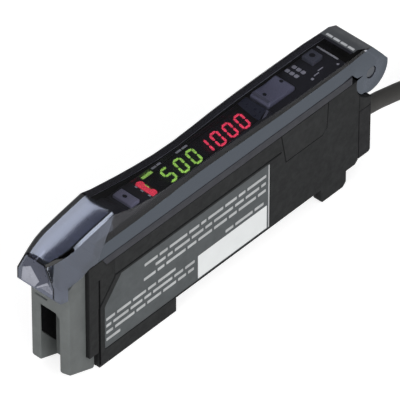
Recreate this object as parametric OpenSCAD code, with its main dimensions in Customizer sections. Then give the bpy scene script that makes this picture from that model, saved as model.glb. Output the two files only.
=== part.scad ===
// Slim digital amplifier for a laser sensor, made to clip onto a 35 mm mounting rail.
// X runs along the housing towards the cable, Y across it and Z up.
// The origin is under the middle of the housing, on the surface that it stands on.

/* [Body] */
// Width of the housing across both sides
body_w = 9.8; // [9.4:0.1:11]
// Thickness of the case walls
wall = 0.9; // [0.7:0.05:1.1]
// Thickness of the separate side plate
plate_t = 0.8; // [0.6:0.05:1]
// Length of the foot in front of the rail
front_foot = 18.5; // [16:0.5:22]
// Length of the foot behind the rail
rear_foot = 6.4; // [5.5:0.1:7]
// Length of the case behind the rail gap
rear_l = 12.4; // [11.5:0.1:14]
// Height of the seam between the case and the panel above it
seam_z = 21.7; // [21:0.1:23]
// Height of the panel rim that shows under the cover
rim_h = 1.6; // [1.4:0.1:2]
// Depth of the groove and of the label field in the side plate
label_recess = 0.25; // [0.15:0.05:0.35]
// Height of the groove above the label
groove_z = 18.3; // [17:0.1:19]
// Thickness of the label
label_t = 0.15; // [0.1:0.05:0.2]

/* [Rail] */
// Length of the gap for the mounting rail
rail_gap = 35.5; // [35.2:0.1:36]
// Depth of the gap for the mounting rail
rail_depth = 3; // [2.6:0.1:3.4]
// Distance from the middle of the housing to the middle of the rail
rail_x = 5.45; // [4.5:0.05:6.5]
// Reach of the fixed hook under the rail
hook_reach = 0.9; // [0.6:0.1:1.1]
// Thickness of the springy tongue behind the rail
tongue_t = 1.1; // [0.9:0.1:1.4]

/* [Sensor socket] */
// Width of the grey socket housing
socket_w = 8.3; // [8:0.1:8.8]
// Length of the grey socket housing in front of the case
socket_l = 4.4; // [4:0.1:5]
// Width of the black band between socket and side plate
band_l = 2.2; // [1.8:0.1:2.6]
// Width of the slot for the sensor plug
slot_w = 4.3; // [4.1:0.1:4.5]
// Height of the slot for the sensor plug
slot_h = 14.6; // [13:0.2:16]
// Depth of the slot for the sensor plug
slot_d = 3.9; // [3.5:0.1:4.5]
// Number of contact blades in the slot
contacts = 4; // [3:1:5]

/* [Cover] */
// Thickness of the clear cover
cover_t = 0.8; // [0.6:0.05:0.9]
// Height of the cover at its crease behind the nose
crease_z = 30.3; // [29.8:0.1:31]
// Height of the cover over the display
waist_z = 27.4; // [27.1:0.1:28]
// Distance that the nose stands out in front of the socket
lip_l = 2.9; // [2.4:0.1:3.2]
// Radius of the round ears at the hinge
ear_r = 4.1; // [3.9:0.05:4.3]
// Height of the hinge axis
hinge_z = 20.5; // [20.2:0.1:20.8]
// Radius of the hinge pins
hinge_pin_r = 1.1; // [0.9:0.05:1.3]
// Radial clearance of the hinge pins in the cover
pin_gap = 0.06; // [0.03:0.01:0.1]

/* [Display] */
// Height of the panel surface at the display
panel_z = 25.9; // [25.6:0.1:26.1]
// Drop from the display to the surface round the keys
key_drop = 0.7; // [0.4:0.1:0.9]
// Thickness of the dark window
window_t = 0.6; // [0.5:0.05:0.7]
// Width of the dark window
window_w = 5.2; // [5:0.05:5.3]
// Height of one digit
digit_h = 3.5; // [3:0.1:3.9]
// Distance from one digit to the next
digit_pitch = 3.05; // [2.9:0.05:3.2]

/* [Keys] */
// Travel of the push buttons
key_travel = 0.3; // [0.2:0.05:0.35]
// Length of the rocking key
rocker_l = 6.6; // [6:0.1:7]
// Width of the rocking key
rocker_w = 4.2; // [3.8:0.1:4.4]
// Greatest tilt of the rocking key to each side
rocker_tilt = 3; // [2:0.5:4]
// Side of the square mode button
mode_w = 2.5; // [2.2:0.1:2.7]
// Length of the set button along the housing
set_l = 2.1; // [1.8:0.1:2.6]
// Width of the set button across the housing
set_w = 4.1; // [3.6:0.1:4.2]

/* [Boards] */
// Thickness of both circuit boards
board_t = 0.8; // [0.6:0.1:1]
// Height of the small switches under the keys
switch_h = 0.9; // [0.8:0.05:1]

/* [Cable] */
// Diameter of the cable
cable_d = 3; // [2.6:0.1:3.2]
// Height of the cable where it leaves the housing
cable_z = 8.2; // [7.5:0.1:9]

/* [Hidden] */
$fn = 48;
eps = 0.01;
half_w = body_w / 2;
fit = 0.1;
gap = 0.15;
seat = 0.05;

// Stations along the housing
rail_x0 = rail_x - rail_gap / 2;
rail_x1 = rail_x + rail_gap / 2;
case_x0 = rail_x0 - front_foot;
case_x1 = rail_x1 + rear_l;
band_x0 = case_x0 - band_l;
face_x = band_x0 - socket_l;
tip_x = face_x - lip_l;
bushing_l = 3;
bushing_x = case_x1 - bushing_l;
bushing_z0 = 3.8;
bushing_z1 = 14.4;
hinge_x = case_x1 + 0.6;
crease_x = case_x0 + 5.1;
hump = crease_z - waist_z;

// Heights
rim_z = seam_z + rim_h;
skirt_z = rim_z + gap;
floor_z = rail_depth + wall;
band_z = 3.5;
heel_z = 3.1;

// Widths
knuckle_w = 6.3;
knuckle_r = 2.45;
cavity_y0 = -half_w + plate_t;
cavity_y1 = half_w - wall;

// Boards
display_board_z = seam_z + 0.1;
board_w = 5.5;
main_board_y = -1.5;
switch_z = display_board_z + board_t + switch_h;

// Draws a side outline, given as [x, z] points, from y0 to y1
module across(y0, y1) {
    translate([0, y1, 0])
        rotate([90, 0, 0])
            linear_extrude(y1 - y0)
                children();
}

// Box from its lowest to its highest corner
module block(low, high) {
    translate(low)
        cube(high - low);
}

// Round rod across the housing
module rod(x, z, r, y0, y1) {
    across(y0, y1)
        translate([x, z])
            circle(r);
}

// Solid through rings of points that lie one behind the other
module loft(rings) {
    n = len(rings[0]);
    m = len(rings);
    points = [for (ring = rings) for (p = ring) p];
    sides = [for (i = [0 : m - 2]) for (j = [0 : n - 1]) for (k = [0, 1])
        k == 0 ? [i * n + j, (i + 1) * n + j, i * n + (j + 1) % n]
            : [(i + 1) * n + j, (i + 1) * n + (j + 1) % n, i * n + (j + 1) % n]];
    first = [[for (j = [0 : n - 1]) j]];
    last = [[for (j = [n - 1 : -1 : 0]) (m - 1) * n + j]];
    polyhedron(concat(points), concat(sides, first, last));
}

// Main case

heel_r = 0.8;
heel_x = rail_x1 + rear_foot;

module foot_outline() {
    polygon([[case_x0, 0], [rail_x0, 0], [rail_x0, rail_depth], [rail_x1, rail_depth],
        [rail_x1, 0.5], [rail_x1 + 0.5, 0], [heel_x - heel_r, 0], [heel_x, heel_r],
        [heel_x, heel_z], [bushing_x - 0.8, heel_z], [bushing_x, bushing_z0],
        [bushing_x, seam_z], [case_x0, seam_z]]);
}

module case_outline() {
    foot_outline();
    polygon([[band_x0, band_z], [case_x0 + eps, band_z], [case_x0 + eps, seam_z],
        [case_x0 + 1.9, seam_z], [case_x0 + 1, rim_z], [band_x0, rim_z]]);
    translate([bushing_x - eps, bushing_z1])
        square([bushing_l + eps, seam_z - bushing_z1 - 0.9]);
}

module cavity_outline() {
    polygon([[case_x0 + wall, wall], [rail_x0 - wall, wall], [rail_x0 - wall, floor_z],
        [rail_x1 + wall + 0.9, floor_z], [bushing_x - wall, heel_z + wall + 0.9],
        [bushing_x - wall, seam_z + eps], [case_x0 + wall, seam_z + eps]]);
}

// Round room for the cover's ears, on both sides of the knuckle
module ear_room() {
    for (side = [-1, 1])
        rod(hinge_x, hinge_z, ear_r + 0.25,
            side < 0 ? -half_w - 1 : knuckle_w / 2,
            side < 0 ? -knuckle_w / 2 : half_w + 1);
}

module main_case() {
    color("#2b2c2e") {
        difference() {
            union() {
                across(-half_w, half_w) case_outline();
                across(-knuckle_w / 2, knuckle_w / 2) knuckle_outline();
                rail_hook();
            }
            across(cavity_y0, cavity_y1) cavity_outline();
            block([case_x0, -half_w - 1, -1], [bushing_x, cavity_y0, seam_z]);
            plug_way();
            ear_room();
            tongue_cuts();
            bushing_way();
        }
        plate_corner();
        rod(hinge_x, hinge_z, hinge_pin_r, -knuckle_w / 2 - cover_t - 0.1, knuckle_w / 2 + cover_t + 0.1);
    }
}

// Neck and round head that carry the hinge pins
module knuckle_outline() {
    polygon([[hinge_x - 5.4, seam_z - 4], [case_x1, bushing_z1 + eps], [case_x1, hinge_z],
        [hinge_x - 3, hinge_z + 1.8], [hinge_x - 5.4, seam_z]]);
    translate([hinge_x, hinge_z])
        circle(knuckle_r);
}

// Lip that reaches under the rail from the front foot
module rail_hook() {
    across(-2.6, 2.6)
        polygon([[rail_x0 - eps, 0.3], [rail_x0 + hook_reach, 0.7],
            [rail_x0 + hook_reach, 1.5], [rail_x0 - eps, 1.9]]);
    across(-2.6, 2.6)
        polygon([[rail_x1 + eps, 0.3], [rail_x1 - hook_reach / 2, 0.8],
            [rail_x1 - hook_reach / 2, 1.4], [rail_x1 + eps, 1.9]]);
}

// Slits that free the springy tongue behind the rail
module tongue_cuts() {
    slit = 0.6;
    block([rail_x1 + tongue_t, -2.6 - slit, -1], [rail_x1 + tongue_t + slit, 2.6 + slit, floor_z - 0.6]);
    for (y = [-2.6 - slit, 2.6])
        block([rail_x1 - 1, y, -1], [rail_x1 + tongue_t + slit, y + slit, rail_depth - 0.6]);
}

// Opening in the front of the case for the socket
module plug_way() {
    block([band_x0 - 1, -tail_w / 2 - fit, tail_z0 - fit], [case_x0 + wall + eps, tail_w / 2 + fit, tail_z1 + fit]);
}

// Opening in the rear wall for the bushing's neck
module bushing_way() {
    block([bushing_x - wall - 1, -neck_w / 2 - seat, cable_z - neck_h / 2 - seat],
        [bushing_x + 1, neck_w / 2 + seat, cable_z + neck_h / 2 + seat]);
}

// The slanted corner in front of the side plate belongs to the case
corner_x = case_x0 + 3.7;
corner_z0 = 13.2;
corner_z1 = 17.8;

module corner_outline() {
    polygon([[case_x0 - eps, corner_z0], [corner_x, corner_z1], [corner_x, seam_z],
        [case_x0 - eps, seam_z]]);
}

module plate_corner() {
    across(-half_w, cavity_y0 + eps) corner_outline();
}

// Side plate and label

field_x1 = rail_x + 5.1;

module plate_outline() {
    difference() {
        plate_foot();
        corner_outline();
    }
}

module plate_foot() {
    polygon([[case_x0 + seat, 0], [rail_x0, 0], [rail_x0, rail_depth], [rail_x1, rail_depth],
        [rail_x1, 0.5], [rail_x1 + 0.5, 0], [heel_x - heel_r, 0], [heel_x, heel_r],
        [heel_x, heel_z], [bushing_x - 0.8, heel_z], [bushing_x - seat, bushing_z0],
        [bushing_x - seat, seam_z - seat], [case_x0 + seat, seam_z - seat]]);
}

label_x0 = case_x0 + 1.45;
label_z0 = rail_depth + 0.25;
label_z1 = groove_z - 0.8;
groove_w = 0.35;
groove_x = corner_x + 0.5 * (groove_z - corner_z1);

// Field of the label, shrunk by m all round
module label_outline(m) {
    lean = (corner_z1 - corner_z0) / (corner_x - case_x0);
    low = corner_z0 - 0.7;
    polygon([[label_x0 + m, label_z0 + m], [field_x1 - m, label_z0 + m], [field_x1 - m, label_z1 - m],
        [label_x0 + m + (label_z1 - low - m) / lean, label_z1 - m], [label_x0 + m, low]]);
}

// Dark groove that runs down the slanted corner and along the top of the label
module groove_outline() {
    polygon([[case_x0 - eps, corner_z0], [corner_x, corner_z1], [groove_x, groove_z], [cap_x0, groove_z],
        [cap_x0, groove_z - groove_w], [groove_x + 0.1, groove_z - groove_w], [corner_x + 0.2, corner_z1 - groove_w],
        [case_x0 - eps, corner_z0 - 1.5 * groove_w]]);
}

module side_plate() {
    color("#2e2f31")
        difference() {
            across(-half_w, cavity_y0) plate_outline();
            across(-half_w - 1, -half_w + label_recess) label_outline(0);
            across(-half_w - 1, -half_w + label_recess) groove_outline();
            across(-half_w - 1, -half_w + cap_t) cap_outline(fit, 1);
            block([port_x0, -half_w - 1, port_z0], [port_x1, half_w, port_z1]);
            ear_room();
        }
}

module label() {
    color("#5f6366")
        across(-half_w + label_recess - label_t, -half_w + label_recess)
            label_outline(0.08);
}

// Socket for the sensor head

tail_w = 7.2;
tail_z0 = 4.6;
tail_z1 = 18.6;
tail_l = band_l + wall + 3;
slot_y = -0.2;
socket_z = 22;
blade_w = 0.5;
blade_h = 1.2;
blade_z0 = 6.2;
blade_pitch = (slot_h - blade_h / 2 - blade_z0) / (contacts - 1);

module socket_plan() {
    near_c = 1;
    far_c = 0.5;
    side = socket_w / 2;
    polygon([[face_x + near_c / 2, -side], [case_x0, -side], [case_x0, side], [face_x + far_c / 2, side],
        [face_x, side - far_c], [face_x, -side + near_c]]);
}

// Side outline of the socket, with its slanted underside and its toe under the black band
module socket_side() {
    toe = case_x0 - 0.35;
    polygon([[face_x, 2.2], [toe - 0.35, 0], [toe, 0.3], [toe, band_z - fit], [band_x0, band_z - fit],
        [band_x0, socket_z], [face_x + 2, socket_z], [face_x, socket_z - 1.6]]);
}

module slot_profile() {
    c = 0.9;
    polygon([[slot_y - slot_w / 2, -1], [slot_y + slot_w / 2, -1],
        [slot_y + slot_w / 2, slot_h], [slot_y - slot_w / 2 + c, slot_h],
        [slot_y - slot_w / 2, slot_h - c]]);
}

module front_socket() {
    color("#8f9293")
        difference() {
            union() {
                intersection() {
                    linear_extrude(socket_z)
                        socket_plan();
                    across(-half_w, half_w)
                        socket_side();
                }
                block([band_x0 - eps, -tail_w / 2, tail_z0],
                    [band_x0 + tail_l, tail_w / 2, tail_z1]);
            }
            translate([face_x - 1, 0, 0])
                rotate([90, 0, 90])
                    linear_extrude(slot_d + 1)
                        slot_profile();
            block([face_x - 1, 0.4, 16.2], [face_x + 0.7, 3.2, 16.6]);
            across(carrier_y - eps, carrier_y + carrier_t + seat) carrier_outline(seat);
            for (z = blade_heights())
                block([face_x + slot_d - 1, slot_y - blade_w / 2 - seat, z - blade_h / 2],
                    [band_x0 + tail_l + 1, slot_y + blade_w / 2 + seat, z + blade_h / 2]);
        }
}

// Black carrier of the contacts, let into the far wall of the slot, with a slanted lower edge
carrier_t = 0.5;
carrier_y = slot_y + slot_w / 2;

module carrier_outline(m) {
    x0 = face_x + 0.5 - m;
    x1 = face_x + slot_d - seat;
    polygon([[x0, 0.57 * slot_h - m], [x1, 0.27 * slot_h - m], [x1, slot_h - fit + m], [x0, slot_h - fit + m]]);
}

module contact_carrier() {
    color("#1b1b1d")
        across(carrier_y, carrier_y + carrier_t) carrier_outline(0);
}

function blade_heights() = [for (i = [0 : contacts - 1]) blade_z0 + i * blade_pitch];

module contact_blades() {
    color("#c9a24a")
        for (z = blade_heights())
            block([face_x + slot_d - 0.6, slot_y - blade_w / 2, z - blade_h / 2 + seat],
                [band_x0 + tail_l + 0.6, slot_y + blade_w / 2, z + blade_h / 2 - seat]);
}

// Panel under the cover

panel_x0 = case_x0 + 2.7;
panel_x1 = hinge_x - 4.6;
set_x = case_x0 + 11.85;
set_z = panel_z + 0.31 * hump;
key_z = panel_z - key_drop;
mode_x = rail_x + 22.6;
mode_y = 1.75;
mode_z = key_z + 0.7;
panel_t = 1;
front_rise = 0.48 * hump;
set_rise = 0.14 * hump;
digit_t = 0.1;
digit_z = panel_z - window_t - seat;
digit_y = -0.2;
lamp_x = rail_x - 19.4;
lamp_y = 0.2;
lamp_step = 1.37;
lamp_r = 0.75;
bar_lamp_x = lamp_x + 2.4;
bar_lamp_y = 2.3;
bar_lamp_l = 2.3;
bar_lamp_w = 0.6;
green_x = lamp_x + 5;
red_x = green_x + 3 * digit_pitch + 0.41;
window_x0 = lamp_x - lamp_r - 0.45;
window_x1 = red_x + 3 * digit_pitch + 2.49;
wide_x = window_x1 + 1.4;
rocker_x = wide_x + rocker_l / 2 + 0.2;
rocker_y = 0.8;
rocker_z = key_z + 0.85;

// Side outline of the panel's top, from the front rise to the low rear end
module panel_top(drop) {
    base = drop > 0 ? seam_z - 1 : rim_z - 0.1;
    side = drop > 0 ? 1.2 : 0;
    polygon([[panel_x0 + side, base], [panel_x0 + 0.8 + side / 2, panel_z + front_rise - drop],
        [set_x - 3.4, panel_z + front_rise - drop], [set_x - 1.9, panel_z + set_rise - drop],
        [set_x + 1.9, panel_z + set_rise - drop], [set_x + 2.9, panel_z - drop],
        [wide_x - 0.7, panel_z - drop], [wide_x, key_z - drop],
        [panel_x1 - 0.6 - side, key_z - drop], [panel_x1 - side, base]]);
}

// Plan and draft of the panel: narrow at the display, wide at the keys
module panel_sides(inset) {
    low = half_w - 1.15 - inset;
    narrow = half_w - 2.55 - inset;
    wide = half_w - 1.95 - inset;
    bottom = seam_z - 1;
    top = panel_z + 2.2;
    loft([for (s = [[panel_x0 - 1, narrow], [wide_x - 3.4, narrow], [wide_x - 0.2, wide], [panel_x1 + 1, wide]])
        [[s[0], -low, bottom], [s[0], low, bottom], [s[0], s[1], top], [s[0], -s[1], top]]]);
}

module rim_outline() {
    polygon([[case_x0 + 1.9 + seat, seam_z], [hinge_x - 5.5, seam_z], [hinge_x - 5.5, rim_z],
        [case_x0 + 1 + seat, rim_z]]);
}

module key_holes() {
    block([set_x - set_l / 2 - fit, -set_w / 2 - fit, seam_z], [set_x + set_l / 2 + fit, set_w / 2 + fit, crease_z]);
    block([rocker_x - rocker_l / 2 - 0.25, rocker_y - rocker_w / 2 - fit, seam_z],
        [rocker_x + rocker_l / 2 + 0.25, rocker_y + rocker_w / 2 + fit, crease_z]);
    block([mode_x - mode_w / 2 - fit, mode_y - mode_w / 2 - fit, seam_z],
        [mode_x + mode_w / 2 + fit, mode_y + mode_w / 2 + fit, crease_z]);
    block([lamp_x - lamp_r - seat, lamp_y - lamp_step - lamp_r - seat, seam_z],
        [lamp_x + lamp_r + seat, lamp_y + lamp_step + lamp_r + seat, panel_z]);
    block([bar_lamp_x - bar_lamp_l / 2 - seat, bar_lamp_y - bar_lamp_w / 2 - seat, seam_z],
        [bar_lamp_x + bar_lamp_l / 2 + seat, bar_lamp_y + bar_lamp_w / 2 + seat, panel_z]);
}

module top_panel() {
    color("#232426")
        difference() {
            union() {
                across(-half_w, half_w) rim_outline();
                intersection() {
                    across(-half_w, half_w) panel_top(0);
                    panel_sides(0);
                }
            }
            difference() {
                intersection() {
                    across(-half_w, half_w) panel_top(panel_t);
                    panel_sides(0.55);
                }
                rocker_cradle();
            }
            block([window_x0 - seat, -window_w / 2 - seat, panel_z - window_t],
                [window_x1 + seat, window_w / 2 + seat, crease_z]);
            block([module_x0 - seat, -module_w / 2 - seat, seam_z], [module_x1 + seat, module_w / 2 + seat, panel_z]);
            key_holes();
            rod(rocker_x, pivot_z, pivot_r, rocker_y - rocker_w / 2 - 0.5, rocker_y + rocker_w / 2 + 0.5);
        }
}

// Two cheeks inside the panel that hold the pin of the rocking key
pivot_z = 23.6;
pivot_r = 0.4;
rocker_foot = 2.4;
foot_gap = seat + rocker_foot * sin(rocker_tilt);

module rocker_cradle() {
    block([rocker_x - 1, -4, pivot_z - 0.8], [rocker_x + 1, 4, panel_z]);
}

module display_window() {
    color([0.08, 0.08, 0.1, 0.6])
        block([window_x0, -window_w / 2, panel_z - window_t], [window_x1, window_w / 2, panel_z]);
}

module_x0 = window_x0 + 5;
module_x1 = window_x1 - 0.9;
module_w = window_w - 0.6;

module display_module() {
    color("#15161a")
        block([module_x0, -module_w / 2, display_board_z + board_t], [module_x1, module_w / 2, digit_z - digit_t]);
}

// Digits made of seven bars

bar_w = 0.42;
slant = 0.12;

// Corner of a digit's bar, leaned over as the digits are
function lean_point(x, y) = [x + slant * y, y];

// Pointed bar from a to b, where a and b are points in the digit's own plane
function bar_points(a, b) =
    let (
        u = (b - a) / norm(b - a),
        n = [-u[1], u[0]] * bar_w / 2,
        s = a + u * (bar_w / 2 + 0.06),
        e = b - u * (bar_w / 2 + 0.06)
    )
    [a + u * 0.1, s + n, e + n, b - u * 0.1, e - n, s - n];

function digit_bars(w, h) = [
    [[-w, 0], [w, 0]], [[-w, h], [w, h]], [[-w, -h], [w, -h]],
    [[-w, 0], [-w, h]], [[w, 0], [w, h]], [[-w, -h], [-w, 0]], [[w, -h], [w, 0]]];

// Bars that are lit for the numbers shown: middle, top, bottom, then the four uprights
function lit(number) =
    number == 0 ? [1, 2, 3, 4, 5, 6]
    : number == 1 ? [4, 6]
    : [0, 1, 2, 3, 6];

module digit(number, x) {
    w = 0.95;
    h = (digit_h - bar_w) / 2;
    bars = digit_bars(w, h);
    translate([x, digit_y, digit_z - digit_t])
        linear_extrude(digit_t)
            for (i = lit(number))
                polygon([for (p = bar_points(bars[i][0], bars[i][1])) lean_point(p[0], p[1])]);
}

module green_digits() {
    color("#a8d060")
        for (i = [0 : 2])
            digit([5, 0, 0][i], green_x + i * digit_pitch);
}

module red_digits() {
    color("#e8485a")
        for (i = [0 : 3])
            digit([1, 0, 0, 0][i], red_x + i * digit_pitch);
}

// Red lamp with two round ends and a narrow middle
module red_lamp() {
    color("#e8485a") {
        for (side = [-1, 1])
            translate([lamp_x, lamp_y + side * lamp_step, lamp_z0])
                cylinder(r = lamp_r, h = lamp_h);
        block([lamp_x - lamp_r / 2, lamp_y - lamp_step, lamp_z0], [lamp_x + lamp_r / 2, lamp_y + lamp_step, lamp_z0 + lamp_h]);
    }
}

lamp_z0 = display_board_z + board_t;
lamp_h = panel_z - window_t - seat - lamp_z0;

module green_lamp() {
    color("#a6d060")
        block([bar_lamp_x - bar_lamp_l / 2, bar_lamp_y - bar_lamp_w / 2, lamp_z0],
            [bar_lamp_x + bar_lamp_l / 2, bar_lamp_y + bar_lamp_w / 2, lamp_z0 + lamp_h]);
}

// Keys

// Cap that shows, collar under the panel at height under, and stem that meets the switch
module push_key(x, y, l, w, top, under) {
    collar = 0.25;
    collar_z = under - seat - collar;
    stem_z = switch_z + key_travel + seat;
    block([x - l / 2, y - w / 2, collar_z], [x + l / 2, y + w / 2, top]);
    block([x - l / 2 - 0.3, y - w / 2 + 0.3, collar_z], [x + l / 2 + 0.3, y + w / 2 - 0.3, under - seat]);
    block([x - 0.6, y - 0.6, stem_z], [x + 0.6, y + 0.6, collar_z + eps]);
}

module set_button() {
    color("#5c5a66")
        push_key(set_x, 0, set_l, set_w, set_z, panel_z + set_rise - panel_t);
}

module mode_button() {
    color("#4a4a55")
        push_key(mode_x, mode_y, mode_w, mode_w, mode_z, key_z - panel_t);
}

module rocker_key() {
    under = pivot_z + 0.75;
    color("#53535f")
        difference() {
            union() {
                across(rocker_y - rocker_w / 2, rocker_y + rocker_w / 2)
                    polygon([[rocker_x - rocker_l / 2, under + 0.3], [rocker_x - rocker_l / 2, rocker_z - 0.5],
                        [rocker_x - rocker_l / 2 + 0.6, rocker_z], [rocker_x, rocker_z - 0.25],
                        [rocker_x + rocker_l / 2 - 0.4, rocker_z], [rocker_x + rocker_l / 2, rocker_z - 0.3],
                        [rocker_x + rocker_l / 2, under + 0.3], [rocker_x + 1.2, under], [rocker_x - 1.2, under]]);
                across(rocker_y - 1.4, rocker_y + 1.4) {
                    translate([rocker_x, pivot_z])
                        circle(0.85);
                    translate([rocker_x - 0.85, pivot_z])
                        square([1.7, 1]);
                }
                for (side = [-1, 1])
                    translate([rocker_x + side * rocker_foot, rocker_y, switch_z + foot_gap])
                        cylinder(r = 0.6, h = under + 0.4 - switch_z - foot_gap);
            }
            rod(rocker_x, pivot_z, pivot_r + pin_gap, -half_w, half_w);
        }
}

module rocker_pin() {
    color("silver")
        rod(rocker_x, pivot_z, pivot_r, rocker_y - rocker_w / 2 - 0.5, rocker_y + rocker_w / 2 + 0.5);
}

// Boards

module display_board() {
    color("#1f5c38")
        block([panel_x0 + 1.4, -board_w / 2, display_board_z],
            [panel_x1 - 1.8, board_w / 2, display_board_z + board_t]);
}

switch_l = 1.8;

module tact_switches() {
    color("#b8bcc0")
        for (place = [[set_x, 0], [rocker_x - rocker_foot, rocker_y], [rocker_x + rocker_foot, rocker_y],
            [mode_x, mode_y]])
            translate([place[0], place[1], display_board_z + board_t]) {
                block([-switch_l / 2, -switch_l / 2, 0], [switch_l / 2, switch_l / 2, switch_h / 2]);
                cylinder(r = switch_l / 4, h = switch_h);
            }
}

main_board_z0 = heel_z + wall + 0.9;
main_board_z1 = seam_z - wall;

main_board_x0 = case_x0 + 5 * wall;
main_board_x1 = bushing_x - 3 * wall;
main_board_l = main_board_x1 - main_board_x0;
main_board_h = main_board_z1 - main_board_z0;

module main_board() {
    color("#1f5c38")
        block([main_board_x0, main_board_y, main_board_z0],
            [main_board_x1, main_board_y + board_t, main_board_z1]);
}

// Chips on the far face of the main board, as shares of it: [middle along it, length, height]
chips = [[0.22, 0.12, 0.44], [0.45, 0.09, 0.38], [0.68, 0.14, 0.32], [0.87, 0.09, 0.44]];
chip_t = 1.2;
chip_z = main_board_z0 + 0.45 * main_board_h;

module board_chips() {
    y0 = main_board_y + board_t;
    color("#1c1c1e")
        for (c = chips) {
            x = main_board_x0 + c[0] * main_board_l;
            l = c[1] * main_board_l;
            h = c[2] * main_board_h;
            block([x - l / 2, y0, chip_z - h / 2], [x + l / 2, y0 + chip_t, chip_z + h / 2]);
        }
}

header_l = 12;
header_w = 1.6;

module board_header() {
    color("#222326")
        block([rail_x - 5.5 - header_l / 2, main_board_y + board_t, main_board_z1 - header_w],
            [rail_x - 5.5 + header_l / 2, main_board_y + board_t + header_w, display_board_z]);
}

// Expansion socket and its removable cap

cap_t = 0.5;
cap_l = 11.5;
cap_h = 6.3;
cap_x0 = rail_x + 7.8;
cap_z1 = seam_z - 0.1;
cap_z0 = cap_z1 - cap_h;
port_x0 = cap_x0 + 2.4;
port_x1 = cap_x0 + cap_l - 1.9;
port_z0 = cap_z0 + 1;
port_z1 = cap_z0 + 5;
port_pins = 5;
port_pitch = 1.3;

// Outline of the cap, grown by m at its sides and by top at its upper edge
module cap_outline(m, top) {
    polygon([[cap_x0 - m, cap_z1 + top], [cap_x0 - m, cap_z1], [cap_x0 + 1.2 - m, cap_z0 - m],
        [cap_x0 + cap_l - 1.3, cap_z0 - m], [cap_x0 + cap_l - 0.3 + m, cap_z0 + 0.9],
        [cap_x0 + cap_l + m, cap_z1], [cap_x0 + cap_l + m, cap_z1 + top]]);
}

module expansion_cap() {
    color("#2b2c2e") {
        across(-half_w, -half_w + cap_t - seat) cap_outline(0, 0);
        block([port_x0 + fit, -half_w + cap_t - seat - eps, port_z0 + fit],
            [port_x1 - fit, cavity_y0 + 0.3, port_z1 - fit]);
    }
}

module expansion_socket() {
    y0 = cavity_y0 + 0.5;
    color("#3a3b3d")
        difference() {
            block([port_x0 - 0.4, y0, port_z0 - 0.2], [port_x1 + 0.4, main_board_y, port_z1 + 0.2]);
            for (i = [0 : port_pins - 1])
                block([port_x0 + 0.5 + i * port_pitch, y0 - 1, port_z0 + 1],
                    [port_x0 + 1.4 + i * port_pitch, y0 + 1.1, port_z1 - 1]);
        }
}

// Cable bushing

neck_w = 6;
neck_h = 5.6;

module cable_bushing() {
    color("#28292b")
        difference() {
            union() {
                across(-half_w, half_w)
                    polygon([[bushing_x + seat, bushing_z0], [case_x1 - 0.4, bushing_z0], [case_x1, bushing_z0 + 0.4],
                        [case_x1, bushing_z1 - seat], [bushing_x + seat, bushing_z1 - seat]]);
                block([bushing_x - wall - 0.6, -neck_w / 2, cable_z - neck_h / 2],
                    [bushing_x + 1, neck_w / 2, cable_z + neck_h / 2]);
            }
            translate([bushing_x - 5, 0, cable_z])
                rotate([0, 90, 0])
                    cylinder(r = cable_d / 2, h = 20);
        }
}

// Clear cover

nose_drop = 2.7;
nose_z = crease_z - nose_drop;
edge_c = 0.45;
ear_y = half_w - 0.65;

roof_l = hinge_x - crease_x;

// Places along the cover: [x, half width below, height of the roof, half width of the roof]
cover_stations = [
    [tip_x, 4.1, nose_z, 2.45],
    [tip_x + 1.7, 4.45, nose_z + 0.25, 3],
    [tip_x + 3.5, 4.7, nose_z + 0.6, 3.45],
    [tip_x + 5.4, 4.8, nose_z + 0.95, 3.7],
    [tip_x + 9.4, half_w, nose_z + 1.8, 3.7],
    [crease_x, half_w, crease_z, 3.75],
    [crease_x + 0.035 * roof_l, half_w, waist_z + 0.74 * hump, 3.85],
    [crease_x + 0.08 * roof_l, half_w, waist_z + 0.52 * hump, 3.95],
    [crease_x + 0.137 * roof_l, half_w, waist_z + 0.3 * hump, 3.95],
    [crease_x + 0.2 * roof_l, half_w, waist_z + 0.14 * hump, 3.85],
    [crease_x + 0.275 * roof_l, half_w, waist_z + 0.02 * hump, 3.7],
    [crease_x + 0.35 * roof_l, half_w, waist_z - 0.05, 3.65],
    [crease_x + 0.43 * roof_l, half_w, waist_z, 3.75],
    [crease_x + 0.51 * roof_l, half_w, waist_z + 0.05, 3.95],
    [crease_x + 0.6 * roof_l, half_w, waist_z, 4.1],
    [crease_x + 0.71 * roof_l, half_w, waist_z - 0.15, 4.25],
    [hinge_x - 8, half_w, waist_z - 0.25, 4.25],
    [hinge_x - 4, 4.5, waist_z - 0.4, 4.15],
    [hinge_x - 1, ear_y, waist_z - 0.4, 4.05],
    [hinge_x + 8, ear_y, waist_z - 0.4, 4.05]];

// Section of the cover at one station, moved in by t and ending at height low
function cover_ring(s, t, low) =
    let (
        foot = s[1] - t,
        roof = s[3] - t,
        z = s[2] - t
    )
    [[s[0], -foot, low], [s[0], foot, low], [s[0], foot, skirt_z], [s[0], roof, z - edge_c],
        [s[0], roof - edge_c, z], [s[0], -roof + edge_c, z], [s[0], -roof, z - edge_c], [s[0], -foot, skirt_z]];

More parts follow.
